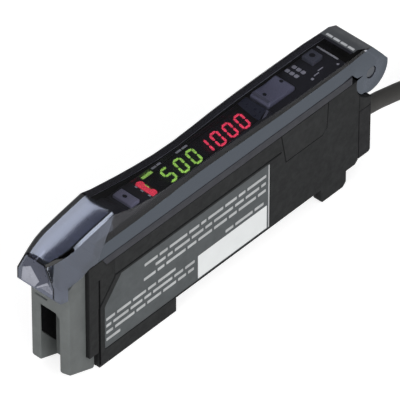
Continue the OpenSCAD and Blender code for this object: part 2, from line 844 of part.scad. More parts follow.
// Side outline of the cover with its nose, skirt and tail
module cover_side() {
    polygon([[tip_x, 21.1], [tip_x + 1.2, 19.6], [face_x - 0.15, 19.4], [face_x - 0.15, socket_z + 0.25],
        [band_x0 - 1.6, socket_z + 0.6], [band_x0 + 0.2, skirt_z], [hinge_x - 5.3, skirt_z],
        [hinge_x - 4.6, skirt_z - 0.9], [hinge_x - 3.8, hinge_z + 1.2], [hinge_x, hinge_z],
        [hinge_x + 3.9, hinge_z + 0.7], [hinge_x + 2.9, hinge_z + 2.1], [hinge_x + 0.4, hinge_z + 5.2],
        [hinge_x - 1.6, hinge_z + 6.1], [hinge_x - 4.6, waist_z], [hinge_x - 8, 40], [tip_x + 0.3, 40]]);
    intersection() {
        translate([hinge_x, hinge_z])
            circle(ear_r);
        translate([hinge_x - 10, hinge_z - 10])
            square([20, 10.7]);
    }
}

// Hollow of the cover's tail, seen from the side
module tail_hollow() {
    polygon([[tip_x + 1.3, 10], [hinge_x + 6, 10], [hinge_x + 6, hinge_z + 0.7],
        [hinge_x + 2.9, hinge_z + 0.7], [hinge_x + 2.2, hinge_z + 1.6], [hinge_x, hinge_z + 4.4],
        [hinge_x - 1.9, hinge_z + 5.2], [hinge_x - 4.6, 40], [tip_x + 1.3, 40]]);
}

module dust_cover() {
    color([0.35, 0.36, 0.42, 0.5])
        difference() {
            intersection() {
                loft([for (s = cover_stations) cover_ring(s, 0, 12)]);
                across(-half_w, half_w) cover_side();
            }
            intersection() {
                loft([for (s = cover_stations) cover_ring(s, cover_t, 10)]);
                across(-half_w, half_w) tail_hollow();
            }
            rod(hinge_x, hinge_z, hinge_pin_r + pin_gap, -half_w - 1, half_w + 1);
        }
}

// Cable that lies free, wound into a long oval coil, with its stripped end and its straps

cable_points = [[33.6, 0, 8.2], [36, 0, 8.2], [39, 0, 8], [43, 0, 7.3], [48, 0, 6], [53, 0, 4.5],
    [58, 0, 3.1], [63, 0, 2.1], [67, 0, 1.6], [70, 0, 1.5], [73, 0, 1.5]];
coil_x = 73;
coil_y = -12.2;
run_l = 54.7;
fold_r = 10.7;
coil_w = 6;
coil_h = 18;
core_d = 0.9;
core_l = 9;
end_x = 91.3;

// Ring of eight points round point i of a route
function cord_ring(route, i) =
    let (
        last = len(route) - 1,
        a = route[max(i - 1, 0)],
        b = route[min(i + 1, last)],
        u = (b - a) / norm(b - a),
        side = cross([0, 0, 1], u) / norm(cross([0, 0, 1], u)),
        up = cross(u, side)
    )
    [for (j = [0 : 7]) route[i] + cable_d / 2 * (cos(45 * j) * side + sin(45 * j) * up)];

module cord(route) {
    loft([for (i = [0 : len(route) - 1]) cord_ring(route, i)]);
}

module cable() {
    color("#2c2c2a")
        cord(cable_points);
}

// Oval with round ends of radius r and straight sides as long as the runs of the cable
module oval(r) {
    for (x = [coil_x, coil_x + run_l])
        translate([x, coil_y])
            circle(r, $fn = 64);
    translate([coil_x, coil_y - r])
        square([run_l, 2 * r]);
}

module cable_coil() {
    color("#2c2c2a")
        linear_extrude(coil_h)
            difference() {
                oval(fold_r + coil_w / 2);
                oval(fold_r - coil_w / 2);
            }
}

// Stripped cores that leave the end of the sheath at the foot of the innermost turn
module cable_end() {
    end = [end_x, coil_y + fold_r - coil_w / 2 + cable_d / 2, cable_d / 2];
    color("#2c2c2a")
        for (i = [0 : 3]) {
            rise = i % 2 == 0 ? -0.5 : 0.5;
            turn = -20 - i * 12;
            translate(end + [0, 0, rise])
                rotate([0, 90 + asin((end[2] + rise - core_d / 2) / core_l), turn])
                    cylinder(d = core_d, h = core_l);
        }
}

// Straps round the turns, one on each straight side
module cable_tie() {
    strap = 0.5;
    strap_w = 2.5;
    x = coil_x + run_l / 2;
    color("#d8d8d4")
        for (y = [coil_y - fold_r, coil_y + fold_r])
            difference() {
                block([x - strap_w / 2, y - coil_w / 2 - strap, 0],
                    [x + strap_w / 2, y + coil_w / 2 + strap, coil_h + strap]);
                block([x - strap_w, y - coil_w / 2, strap], [x + strap_w, y + coil_w / 2, coil_h]);
            }
}

main_case();
side_plate();
label();
front_socket();
contact_blades();
contact_carrier();
top_panel();
display_window();
display_module();
green_digits();
red_digits();
red_lamp();
green_lamp();
set_button();
rocker_key();
rocker_pin();
mode_button();
display_board();
tact_switches();
main_board();
board_chips();
board_header();
expansion_socket();
expansion_cap();
cable_bushing();
dust_cover();
cable();
cable_coil();
cable_end();
cable_tie();
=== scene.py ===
"""Looks of the slim sensor amplifier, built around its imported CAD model.

Sizes and places in this script are in mm, and MM turns them into Blender's metres.
"""
import math
from collections import namedtuple

import bmesh
import bpy
from mathutils import Matrix, Vector


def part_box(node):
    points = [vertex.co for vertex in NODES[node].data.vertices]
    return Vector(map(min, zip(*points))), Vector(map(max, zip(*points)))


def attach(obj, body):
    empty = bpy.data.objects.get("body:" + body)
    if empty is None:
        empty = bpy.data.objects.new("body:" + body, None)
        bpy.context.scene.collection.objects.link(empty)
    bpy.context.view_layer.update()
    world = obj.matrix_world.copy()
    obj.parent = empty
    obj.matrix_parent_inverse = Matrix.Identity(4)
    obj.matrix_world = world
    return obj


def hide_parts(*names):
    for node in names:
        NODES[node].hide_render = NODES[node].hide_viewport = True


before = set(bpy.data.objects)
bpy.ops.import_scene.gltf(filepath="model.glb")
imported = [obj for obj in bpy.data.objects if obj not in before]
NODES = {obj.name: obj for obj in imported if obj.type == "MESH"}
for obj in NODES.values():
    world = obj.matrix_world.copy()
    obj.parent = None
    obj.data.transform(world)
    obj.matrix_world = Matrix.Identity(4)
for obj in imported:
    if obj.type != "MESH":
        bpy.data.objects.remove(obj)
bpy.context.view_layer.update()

MM = 0.001
# Points closer than this are one point
TOUCH = 0.001

# Shader helpers


class Look:
    """A material in the making: add() makes a node of it, and link() joins two sockets."""

    def __init__(self, name):
        self.mat = bpy.data.materials.new(name)
        self.mat.use_nodes = True
        self.tree = self.mat.node_tree
        self.tree.nodes.clear()
        self.out = self.add("ShaderNodeOutputMaterial")

    def add(self, kind, **values):
        node = self.tree.nodes.new(kind)
        for key, value in values.items():
            setattr(node, key, value)
        return node

    def link(self, source, target):
        self.tree.links.new(source, target)

    def noise(self, size, detail, rough=0.55, stretch=None):
        """Noise over the piece's own coordinates, with bumps of the given size."""
        coords = self.add("ShaderNodeTexCoord")
        texture = self.add("ShaderNodeTexNoise")
        texture.inputs["Scale"].default_value = 1 / (size * MM)
        texture.inputs["Detail"].default_value = detail
        texture.inputs["Roughness"].default_value = rough
        if stretch:
            mapping = self.add("ShaderNodeMapping")
            mapping.inputs["Scale"].default_value = stretch
            self.link(coords.outputs["Object"], mapping.inputs["Vector"])
            self.link(mapping.outputs["Vector"], texture.inputs["Vector"])
        else:
            self.link(coords.outputs["Object"], texture.inputs["Vector"])
        return texture.outputs["Fac"]

    def ramp(self, source, low, high, start=0.3, end=0.7):
        """Maps source from start..end to low..high, as numbers or colours."""
        ramp = self.add("ShaderNodeValToRGB")
        first, last = ramp.color_ramp.elements
        first.position, last.position = start, end
        first.color, last.color = as_colour(low), as_colour(high)
        self.link(source, ramp.inputs["Fac"])
        return ramp.outputs["Color"]

    def bump(self, source, strength, height=0.05):
        bump = self.add("ShaderNodeBump")
        bump.inputs["Strength"].default_value = strength
        bump.inputs["Distance"].default_value = height * MM
        self.link(source, bump.inputs["Height"])
        return bump.outputs["Normal"]

    def scaled(self, source, factor, offset=0.0):
        """Source times factor plus offset, where offset is a number or a socket."""
        node = self.add("ShaderNodeMath", operation="MULTIPLY_ADD")
        self.link(source, node.inputs[0])
        node.inputs[1].default_value = factor
        if isinstance(offset, (int, float)):
            node.inputs[2].default_value = offset
        else:
            self.link(offset, node.inputs[2])
        return node.outputs[0]

    def principled(self, **values):
        bsdf = self.add("ShaderNodeBsdfPrincipled")
        for key, value in values.items():
            bsdf.inputs[key.replace("_", " ")].default_value = value
        self.show(bsdf)
        return bsdf

    def show(self, shader):
        self.link(shader.outputs[0], self.out.inputs["Surface"])


def as_colour(value):
    if isinstance(value, (int, float)):
        return (value, value, value, 1)
    return (*value[:3], 1)


def shade(colour, factor):
    return tuple(c * factor for c in colour[:3])


# Kinds of material

# How steeply a gloss rises towards a grazing angle
GRAZING_POWER = 5


def plastic(name, colour, rough=0.45, grain=0.12, grain_size=0.22, level=0.5, mottle=0.1):
    """Moulded plastic: a sparked grain, slight cloudiness of colour and uneven gloss."""
    look = Look(name)
    bsdf = look.principled(Specular_IOR_Level=level)
    clouds = look.noise(size=3, detail=4)
    patches = look.noise(size=1.1, detail=2)
    sparks = look.noise(size=grain_size, detail=2, rough=0.6)
    clouded = look.ramp(clouds, shade(colour, 1 - mottle), shade(colour, 1 + mottle))
    look.link(clouded, bsdf.inputs["Base Color"])
    look.link(look.ramp(patches, rough - 0.06, rough + 0.08), bsdf.inputs["Roughness"])
    look.link(look.bump(sparks, grain), bsdf.inputs["Normal"])
    return look.mat


def smoked(name, tint, rough=0.04, gloss=0.9, wave=0.03, face_on=0.1):
    """Thin smoked plastic: light comes through with a tint, and a clear gloss lies on top of it.

    The gloss is all of what is seen at a grazing angle, and the share face_on of it face to face.
    """
    look = Look(name)
    through = look.add("ShaderNodeBsdfTransparent")
    clouds = look.noise(size=9, detail=2)
    look.link(look.ramp(clouds, shade(tint, 0.96), shade(tint, 1.04)), through.inputs["Color"])
    coat = look.add("ShaderNodeBsdfGlossy")
    coat.inputs["Color"].default_value = as_colour(gloss)
    patches = look.noise(size=2, detail=3)
    waves = look.noise(size=7, detail=1)
    look.link(look.ramp(patches, rough, rough + 0.03), coat.inputs["Roughness"])
    look.link(look.bump(waves, wave), coat.inputs["Normal"])
    weight = look.add("ShaderNodeLayerWeight")
    weight.inputs["Blend"].default_value = 0.5
    curve = look.add("ShaderNodeMath", operation="POWER")
    curve.inputs[1].default_value = GRAZING_POWER
    look.link(weight.outputs["Facing"], curve.inputs[0])
    mix = look.add("ShaderNodeMixShader")
    look.link(look.scaled(curve.outputs[0], 1 - face_on, face_on), mix.inputs[0])
    look.link(through.outputs[0], mix.inputs[1])
    look.link(coat.outputs[0], mix.inputs[2])
    look.show(mix)
    return look.mat


def lit(name, colour, strength):
    """Light behind a diffuser, a little uneven."""
    look = Look(name)
    bsdf = look.principled(Roughness=0.35, Emission_Strength=strength)
    glow = look.ramp(look.noise(size=0.8, detail=1), shade(colour, 0.85), colour)
    look.link(glow, bsdf.inputs["Base Color"])
    look.link(glow, bsdf.inputs["Emission Color"])
    return look.mat


def metal(name, colour, rough):
    """Metal, brushed along X."""
    look = Look(name)
    bsdf = look.principled(Metallic=1.0)
    clouds = look.noise(size=0.6, detail=3)
    strokes = look.noise(size=0.2, detail=3, stretch=(0.1, 1, 1))
    look.link(look.ramp(clouds, shade(colour, 0.85), colour), bsdf.inputs["Base Color"])
    look.link(look.ramp(strokes, rough, rough + 0.15), bsdf.inputs["Roughness"])
    return look.mat


def board(name):
    """Solder mask over faint copper tracks."""
    mask, over_copper = (0.008, 0.07, 0.03), (0.02, 0.14, 0.06)
    look = Look(name)
    bsdf = look.principled(Roughness=0.35)
    tracks = look.noise(size=1.2, detail=1, stretch=(0.3, 1, 1))
    look.link(look.ramp(tracks, mask, over_copper, 0.48, 0.52), bsdf.inputs["Base Color"])
    look.link(look.bump(tracks, 0.3, height=0.04), bsdf.inputs["Normal"])
    return look.mat


# Materials of the CAD nodes

NODE_MATERIALS = {
    "main_case": plastic("case plastic", (0.013, 0.0135, 0.014), 0.55, 0.2, level=0.22),
    "side_plate": plastic("plate plastic", (0.014, 0.0148, 0.0155), 0.55, 0.2, level=0.22),
    "label": plastic("label film", (0.085, 0.094, 0.098), 0.5, 0.05, grain_size=0.4, level=0.35),
    "front_socket": plastic("grey plastic", (0.13, 0.14, 0.138), 0.45, 0.12, level=0.35),
    "contact_blades": metal("contact plating", (0.83, 0.62, 0.28), 0.2),
    # The contacts' carrier is a real part, but its black, and its outline that follows where the slot falls
    # into shade, are painted shade deep in the slot
    "contact_carrier": plastic("carrier resin as painted slot shade", (0.003, 0.003, 0.004), 0.6, level=0.1),
    "top_panel": plastic("panel plastic", (0.033, 0.034, 0.043), 0.42, 0.08, level=0.3),
    "display_window": smoked("window plastic", (0.62, 0.62, 0.66), 0.03, gloss=0.8, wave=0),
    "display_module": plastic("display resin", (0.07, 0.078, 0.105), 0.6),
    "green_digits": lit("green light", (0.42, 0.78, 0.12), 3.6),
    "red_digits": lit("red light", (0.92, 0.06, 0.11), 4.4),
    "red_lamp": lit("red lamp light", (0.95, 0.06, 0.1), 3.2),
    "green_lamp": lit("green lamp light", (0.45, 0.8, 0.14), 3.0),
    "set_button": plastic("key plastic", (0.36, 0.355, 0.46), 0.35, 0.06),
    "rocker_key": plastic("rocker plastic", (0.27, 0.275, 0.37), 0.35, 0.06),
    "mode_button": plastic("mode plastic", (0.17, 0.18, 0.22), 0.35, 0.06),
    "rocker_pin": metal("pin steel", (0.6, 0.6, 0.6), 0.25),
    "display_board": board("board mask"),
    "tact_switches": metal("switch plating", (0.55, 0.56, 0.57), 0.3),
    "main_board": board("main board mask"),
    "board_chips": plastic("chip resin", (0.02, 0.02, 0.022), 0.5),
    "board_header": plastic("header resin", (0.02, 0.02, 0.022), 0.4),
    "expansion_socket": plastic("port resin", (0.03, 0.03, 0.032), 0.4),
    "expansion_cap": plastic("cap plastic", (0.015, 0.0158, 0.0165), 0.52, 0.2, level=0.22),
    "cable_bushing": plastic("bushing rubber", (0.014, 0.014, 0.0155), 0.6, 0.15, level=0.25),
    "dust_cover": smoked("smoked plastic", (0.022, 0.022, 0.027), gloss=(0.74, 0.83, 0.97), face_on=0.18),
    "cable_end": plastic("core sheath", (0.2, 0.12, 0.06), 0.5),
    "cable_tie": plastic("tie nylon", (0.75, 0.75, 0.72), 0.4),
}

for node_name, node_mat in NODE_MATERIALS.items():
    NODES[node_name].data.materials.clear()
    NODES[node_name].data.materials.append(node_mat)

# Materials of single surfaces and of the scene's own pieces

SHEATH = plastic("cable sheath", (0.055, 0.053, 0.05), 0.55, 0.25, grain_size=0.3)
PIN_END = plastic("pin end plastic", (0.09, 0.098, 0.113), 0.4, 0.1)
CLEAR_ROOF = smoked("clear smoked plastic", (0.76, 0.76, 0.79), face_on=0.05)
NOSE = smoked("nose plastic", (0.42, 0.43, 0.5), 0.1, gloss=(0.78, 0.84, 0.98), face_on=0.2)
# Dark tint of the cover's far wall, rim and front frame, also painted as shade on the nose's bevels away from
# the light
DARK_WALL_AND_SHADE = smoked("dark edge plastic and painted bevel shade", (0.06, 0.06, 0.075), gloss=0.6, face_on=0.03)
# Frosted plastic of the cover's tail, also used as the painted highlights on the nose's front facets
FROST_AND_HIGHLIGHT = plastic("frosted plastic and painted highlight", (0.34, 0.35, 0.41), 0.3, 0.1, mottle=0.12)
# Painted reflection: the mid patch low on the nose's front
NOSE_MID_REFLECTION = plastic("painted mid reflection", (0.2, 0.21, 0.26), 0.3, 0.1, mottle=0.12)
FROST_DIM = plastic("dim frosted plastic and painted highlight", (0.085, 0.092, 0.102), 0.35, 0.1, mottle=0.12)
# Painted reflection: dark patches on the nose's front and at the window's end
DARK_REFLECTION = plastic("painted dark reflection", (0.044, 0.05, 0.082), 0.3, 0.1, mottle=0.12)
# Painted highlight on edges: the window's near edge and the rocking key's end
EDGE_HIGHLIGHT = plastic("painted edge highlight", (0.2, 0.205, 0.26), 0.3, 0.1, mottle=0.12)
# Painted highlight: the light line on the underside of the cover's far rim
RIM_HIGHLIGHT = plastic("painted rim highlight", (0.3, 0.31, 0.35), 0.3, 0.1, mottle=0.12)
GREY_FIELD = plastic("grey print", (0.5, 0.51, 0.53), 0.5, 0.05, mottle=0.15)
# White film of the label, also used as a painted highlight at the panel's rear end
FILM_AND_HIGHLIGHT = plastic("white film and painted highlight", (0.9, 0.92, 0.92), 0.5, 0.03, grain_size=0.4, mottle=0.02)
PRINT = plastic("light print", (0.52, 0.53, 0.535), 0.5, 0.02, mottle=0.15)
KEY_PRINT = plastic("key print", (0.75, 0.75, 0.8), 0.5, 0.02, mottle=0.1)
# Dark fill of the keys' dimples, also painted as shade in the gap on the cover's rear
DISH_AND_GAP_SHADE = plastic("dark dish plastic and painted gap shade", (0.012, 0.012, 0.02), 0.4, 0.05)
# Black as painted shade, for the shade deep in the groove by the side plate's front edge
GROOVE_SHADE = plastic("painted groove shade", (0.002, 0.002, 0.0025), 0.7, level=0.05)

# Shape and slots of the dust cover

# The nose runs from its tip to the crease, and its flat top is the part of it above NOSE_ROOF_Z
NOSE_TIP_X, CREASE_X = -40.2, -25.7
NOSE_ROOF_Z = 27
# Half width of the nose's flat top along X, as (x, half width)
NOSE_HALF = ((NOSE_TIP_X, 2.03), (-38.6, 2.55), (-36.8, 3.0), (-34.9, 3.25), (-30.9, 3.25), (CREASE_X, 3.3))
# Height of the crown, the length over which it fades out at both ends, and the cuts that let it bend
CROWN, CROWN_FADE = 0.16, 1.5
CROWN_CUTS = (-26.3, -27.3, -28.8, -30.9, -32.8, -34.9, -36.8, -38.6, -39.4)
CROWN_STRIPS = 8
# Behind LIT_EDGE_X the near bevel of the nose keeps the nose's tint, while its other bevels take the dark
# tint as painted shade, and the far rim starts at a share of the half width
LIT_EDGE_X = -35
FAR_RIM_SHARE = 0.75
# Behind the crease, the near wall is clear down to the window's level
NEAR_WALL_Y = -3.6
WINDOW_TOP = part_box("display_window")[1].z / MM
# Lowest level of the roof, and where its frosted rear and the tail start
ROOF_Z = 26
REAR_ROOF_X, TAIL_X = 32.2, 38.9
# The nose's front face, and the width and lower end of the dark frame round it
FRONT_X = -40
FRAME_W, FRAME_Z = 0.28, 21.3
# How far a face's normal runs along an axis: one that leans that way, one that faces it, and a flat one
LEANS, FACES, FLAT = 0.5, 0.8, 0.9
# Slots of the cover: its own smoked plastic, and then these materials
COVER_MATERIALS = (CLEAR_ROOF, NOSE, DARK_WALL_AND_SHADE, FROST_AND_HIGHLIGHT, FROST_DIM, RIM_HIGHLIGHT)
SMOKED, CLEAR, NOSE_TINT, DARK, PALE, DIM, RIM = range(1 + len(COVER_MATERIALS))


def half_width(x):
    for (x0, half0), (x1, half1) in zip(NOSE_HALF, NOSE_HALF[1:]):
        if x <= x1:
            return half0 + (half1 - half0) * (x - x0) / (x1 - x0)
    return NOSE_HALF[-1][1]


def nose_top(bm):
    return [f for f in bm.faces if f.normal.z > FLAT and f.calc_center_median().x < CREASE_X * MM
            and f.calc_center_median().z > NOSE_ROOF_Z * MM]


def cut(bm, faces, point, normal):
    """Cuts faces along a plane through point, which is in metres."""
    around = set(faces) | {e for f in faces for e in f.edges} | {v for f in faces for v in f.verts}
    bmesh.ops.bisect_plane(bm, geom=list(around), dist=TOUCH * MM, plane_co=point, plane_no=normal)


def crown_nose(bm):
    """Gives the flat top of the nose its slight crown across the housing."""
    for x in CROWN_CUTS:
        cut(bm, nose_top(bm), (x * MM, 0, 0), (1, 0, 0))
    edges = {edge for face in nose_top(bm) for edge in face.edges}
    across = [edge for edge in edges if abs(edge.verts[0].co.x - edge.verts[1].co.x) < TOUCH * MM]
    bmesh.ops.subdivide_edges(bm, edges=across, cuts=CROWN_STRIPS - 1)
    for vert in {v for f in nose_top(bm) for v in f.verts}:
        x, y = vert.co.x / MM, vert.co.y / MM
        fade = max(0, min(1, (x - NOSE_TIP_X) / CROWN_FADE, (CREASE_X - x) / CROWN_FADE))
        vert.co.z += CROWN * MM * fade * max(0, 1 - (y / half_width(x)) ** 2)


def nose_slot(middle, normal):
    """Slot of a face of the nose: dark on the far wall and its rim, and dark as painted shade on the bevels
    away from the light.
    """
    bevelled = LEANS < abs(normal.y) < FACES and middle.z > ROOF_Z * MM
    lit_edge = normal.y < 0 and middle.x > LIT_EDGE_X * MM
    far_wall = normal.y > LEANS and middle.y > 0
    far_rim = (normal.z > FACES and middle.z > NOSE_ROOF_Z * MM
               and middle.y > FAR_RIM_SHARE * half_width(middle.x / MM) * MM)
    return DARK if far_wall or far_rim or bevelled and not lit_edge else NOSE_TINT


def rear_slot(middle, normal):
    """Slot of a face behind the crease, where the roof and the near wall's top are clear, and the far rim's
    underside carries a painted highlight.
    """
    if middle.x > TAIL_X * MM and abs(normal.y) < LEANS:
        return PALE
    if middle.x > REAR_ROOF_X * MM and normal.z > FACES and middle.z > WINDOW_TOP * MM:
        return DIM
    if middle.y > 0 and normal.y < -LEANS:
        return RIM if normal.z < -LEANS else DARK
    roof_or_near = middle.z > ROOF_Z * MM and (abs(normal.z) > LEANS or middle.y < 0)
    near_inside = middle.y < 0 < normal.y
    return CLEAR if roof_or_near or near_inside else SMOKED


def in_front(face):
    return face.normal.x < -FLAT and face.calc_center_median().x < FRONT_X * MM


def frame_front(bm):
    """Insets the nose's front face, and makes the frame round it dark."""
    front = [f for f in bm.faces if in_front(f)]
    bmesh.ops.inset_individual(bm, faces=front, thickness=FRAME_W * MM, use_even_offset=True)
    for face in bm.faces:
        if in_front(face) and face not in front and face.calc_center_median().z > FRAME_Z * MM:
            face.material_index = DARK


def shape_cover(bm):
    """Crowns the nose, says how clear each part of the cover is, and frames its front face."""
    crown_nose(bm)
    near_wall = [f for f in bm.faces if f.normal.y < -FLAT and f.calc_center_median().y < NEAR_WALL_Y * MM
                 and f.calc_center_median().x > CREASE_X * MM]
    cut(bm, near_wall, (0, 0, WINDOW_TOP * MM), (0, 0, 1))
    for face in bm.faces:
        middle = face.calc_center_median()
        slot_of = nose_slot if middle.x < CREASE_X * MM else rear_slot
        face.material_index = slot_of(middle, face.normal)
    frame_front(bm)


# Softened copies of the moulded nodes

# Lowest x, distance from the middle plane and height of the hinge pins' ends
PIN_END_X, PIN_END_Y, PIN_END_Z = 34.9, 3.9, 18.8


def soften(node, body, width=0.12, angle=28, merge=True, clamp=False, shape=None, materials=()):
    """Copy of a CAD node with its sharp edges rounded, which stands for the node.

    merge first joins faces that lie in one plane, clamp keeps bevels from running into each other, and
    shape is a function that changes the mesh before it is bevelled.
    """
    mesh = NODES[node].data.copy()
    bm = bmesh.new()
    bm.from_mesh(mesh)
    bmesh.ops.remove_doubles(bm, verts=bm.verts, dist=TOUCH * MM)
    if merge:
        bmesh.ops.dissolve_limit(bm, angle_limit=math.radians(1), verts=bm.verts, edges=bm.edges)
    if shape:
        shape(bm)
    bm.to_mesh(mesh)
    bm.free()
    for extra in materials:
        mesh.materials.append(extra)
    for polygon in mesh.polygons:
        polygon.use_smooth = True
    piece = bpy.data.objects.new(node + "_form", mesh)
    bpy.context.scene.collection.objects.link(piece)
    bevel = piece.modifiers.new("edges", "BEVEL")
    bevel.width = width * MM
    bevel.segments = 2
    bevel.limit_method = "ANGLE"
    bevel.angle_limit = math.radians(angle)
    bevel.use_clamp_overlap = clamp
    shading = piece.modifiers.new("shading", "WEIGHTED_NORMAL")
    shading.mode = "FACE_AREA"
    shading.weight = 90
    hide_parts(node)
    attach(piece, body)
    return piece


def lighten_pin_ends(mesh):
    """Second slot for the ends of the hinge pins, on both sides of the case's rear ear."""
    for polygon in mesh.polygons:
        x, y, z = polygon.center / MM
        if x > PIN_END_X and abs(y) > PIN_END_Y and z > PIN_END_Z:
            polygon.material_index = 1


case_form = soften("main_case", "case", materials=(PIN_END,))
lighten_pin_ends(case_form.data)
soften("side_plate", "case", 0.1)
soften("front_socket", "case", 0.2, merge=False)
soften("top_panel", "case", 0.08, merge=False)
soften("expansion_cap", "port_cap", 0.1)
soften("cable_bushing", "case", 0.15)
soften("set_button", "set_key", 0.15, merge=False)
soften("mode_button", "mode_key", 0.15, merge=False)
soften("rocker_key", "rocker", 0.2)
soften("dust_cover", "cover", angle=20, clamp=True, shape=shape_cover, materials=COVER_MATERIALS)

# Thin shapes on surfaces

PRINT_RISE, FILM_RISE, DISH_RISE = 0.02, 0.03, 0.012
# Levels of the panel's floor round the keys, and of the flat rear of the cover's roof
KEY_FLOOR_Z, REAR_ROOF_Z = 25.2, 27
# A plane's two axes, the axis that its surfaces face, and the sign of that way
PLANES = {"side": (0, 2, 1, -1), "top": (0, 1, 2, 1), "front": (1, 2, 0, -1)}
Surface = namedtuple("Surface", "plane level body")


def surface(plane, node, body):
    """Outermost level of a node on the side that the plane faces."""
    axis, outwards = PLANES[plane][2:]
    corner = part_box(node)[1 if outwards > 0 else 0]
    return Surface(plane, corner[axis] / MM, body)


LABEL_FACE = surface("side", "label", "case")
PLATE_FACE = surface("side", "side_plate", "case")
MODULE_TOP = surface("top", "display_module", "case")
WINDOW_FACE = surface("top", "display_window", "case")
KEY_FLOOR = Surface("top", KEY_FLOOR_Z, "case")
SET_TOP = surface("top", "set_button", "set_key")
MODE_TOP = surface("top", "mode_button", "mode_key")
ROCKER_TOP = surface("top", "rocker_key", "rocker")
REAR_ROOF = Surface("top", REAR_ROOF_Z, "cover")
NOSE_FRONT = surface("front", "dust_cover", "cover")


def fields(name, outlines, mat, on, rise, lift=0.0):
    """Thin shapes from outlines in the surface's plane, with their feet at lift above its level."""
    first, second, facing, outwards = PLANES[on.plane]
    mesh = bpy.data.meshes.new(name)
    bm = bmesh.new()
    for outline in outlines:
        layers = []
        for height in (lift, lift + rise):
            layer = []
            for a, b in outline:
                place = Vector()
                place[first], place[second], place[facing] = a, b, on.level + outwards * height
                layer.append(bm.verts.new(place * MM))
            layers.append(layer)
        foot, top = layers
        bm.faces.new(foot)
        bm.faces.new(top)
        for i in range(len(outline)):
            j = (i + 1) % len(outline)
            bm.faces.new((foot[i], foot[j], top[j], top[i]))
    bmesh.ops.recalc_face_normals(bm, faces=bm.faces)
    bm.to_mesh(mesh)
    bm.free()
    mesh.materials.append(mat)
    piece = bpy.data.objects.new(name, mesh)
    bpy.context.scene.collection.objects.link(piece)
    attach(piece, on.body)
    return piece


def box(a0, a1, b0, b1, corner=0.0):
    """Rectangle, whose corners are round where corner is given."""
    if not corner:
        return [(a0, b0), (a1, b0), (a1, b1), (a0, b1)]
    points = []
    for a, b, start in ((a1, b1, 0), (a0, b1, 90), (a0, b0, 180), (a1, b0, 270)):
        centre_a = a - math.copysign(corner, a - (a0 + a1) / 2)
        centre_b = b - math.copysign(corner, b - (b0 + b1) / 2)
        for turn in (0, 30, 60, 90):
            angle = math.radians(start + turn)
            points.append((centre_a + corner * math.cos(angle), centre_b + corner * math.sin(angle)))
    return points


def oval(a, b, radius_a, radius_b, sides=24):
    angles = [2 * math.pi * i / sides for i in range(sides)]
    return [(a + radius_a * math.cos(angle), b + radius_b * math.sin(angle)) for angle in angles]


# Digits: leaning bars with gaps between them

BAR_W, BAR_GAP, LEAN = 0.4, 0.09, 0.22
DIGIT_W, DIGIT_H, DIGIT_RISE = 1.52, 3.1, 0.1
DIGIT_Y = -0.2
# Both ends of each bar, as shares of the digit's width and height
BARS = {"a": ((0, 1), (1, 1)), "b": ((1, 1), (1, 0.5)), "c": ((1, 0.5), (1, 0)), "d": ((0, 0), (1, 0)),
        "e": ((0, 0.5), (0, 0)), "f": ((0, 1), (0, 0.5)), "g": ((0, 0.5), (1, 0.5))}
LIT_BARS = {0: "abcdef", 1: "bc", 5: "afgcd"}
# Each number shown, with the middle of each of its digits along X
SHOWN = {"green_digits": ((5, -9.05), (0, -6.0), (0, -3.0)),
         "red_digits": ((1, -0.1), (0, 2.85), (0, 5.75), (0, 8.65))}


def bar_outline(start, end):
    """Bar with pointed ends that stays clear of both joints."""
    along = (end - start).normalized()
    side = Vector((-along.y, along.x)) * BAR_W / 2
    tip = along * BAR_W / 2
    start, end = start + along * BAR_GAP, end - along * BAR_GAP
    points = (start, start + tip + side, end - tip + side, end, end - tip - side, start + tip - side)
    return [tuple(point) for point in points]


def digit(number, x):
    """Outlines of the lit bars of one digit whose middle is at x."""
    outlines = []
    for bar in LIT_BARS[number]:
        ends = []
        for across, up in BARS[bar]:
            y = DIGIT_Y + (up - 0.5) * DIGIT_H
            ends.append(Vector((x + (across - 0.5) * DIGIT_W + LEAN * (y - DIGIT_Y), y)))
        outlines.append(bar_outline(*ends))
    return outlines


def add_digits():
    for node, digits in SHOWN.items():
        outlines = [outline for number, x in digits for outline in digit(number, x)]
        piece = fields(node + "_lit", outlines, NODE_MATERIALS[node], MODULE_TOP, DIGIT_RISE)
        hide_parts(node)


add_digits()

# Label: a white box, rows of dashes and the light edge of the film

# The box as (x0, x1, z0, z1, corner), and the film's edge as (x0, x1, z0, z1)
WHITE_BOX = (-7, 9.8, 3.6, 8.6, 0.1)
FILM_EDGE = (10.15, 10.42, 3.45, 17.3)
# Height, start and end of each row of dashes, and the lengths that the dashes run through
ROWS = ((15.3, -19.8, 9.6), (13.75, -17.2, 9.5), (12.2, -20, 9.5), (9.5, -29, -12.3), (9.55, -0.3, 9),
        (8.05, -29, -7.8), (6.6, -29, -8), (5.05, -29, -24.8))
DASHES = (3.1, 1.9, 4.2, 2.4, 1.2, 3.6, 2.8, 1.6, 4.6, 2.1, 3.3)
# Each row starts this many dashes further on than the one before
ROW_SHIFT = 3
DASH_H, DASH_GAP, DASH_CORNER = 0.6, 0.5, 0.12


def row_of_dashes(z, start, end, first):
    dashes = []
    x = start
    while x < end - DASH_GAP:
        dash_end = min(x + DASHES[(first + len(dashes)) % len(DASHES)], end)
        dashes.append(box(x, dash_end, z - DASH_H / 2, z + DASH_H / 2, DASH_CORNER))
        x = dash_end + DASH_GAP
    return dashes


def add_label_print():
    dashes = [dash for i, row in enumerate(ROWS) for dash in row_of_dashes(*row, ROW_SHIFT * i)]
    fields("label_box", [box(*WHITE_BOX)], FILM_AND_HIGHLIGHT, LABEL_FACE, FILM_RISE)
    fields("label_rows", dashes, PRINT, LABEL_FACE, PRINT_RISE)
    fields("label_edge", [box(*FILM_EDGE)], PRINT, LABEL_FACE, PRINT_RISE)


add_label_print()

# Side plate: a black strip painted as the shade in the groove along its front edge

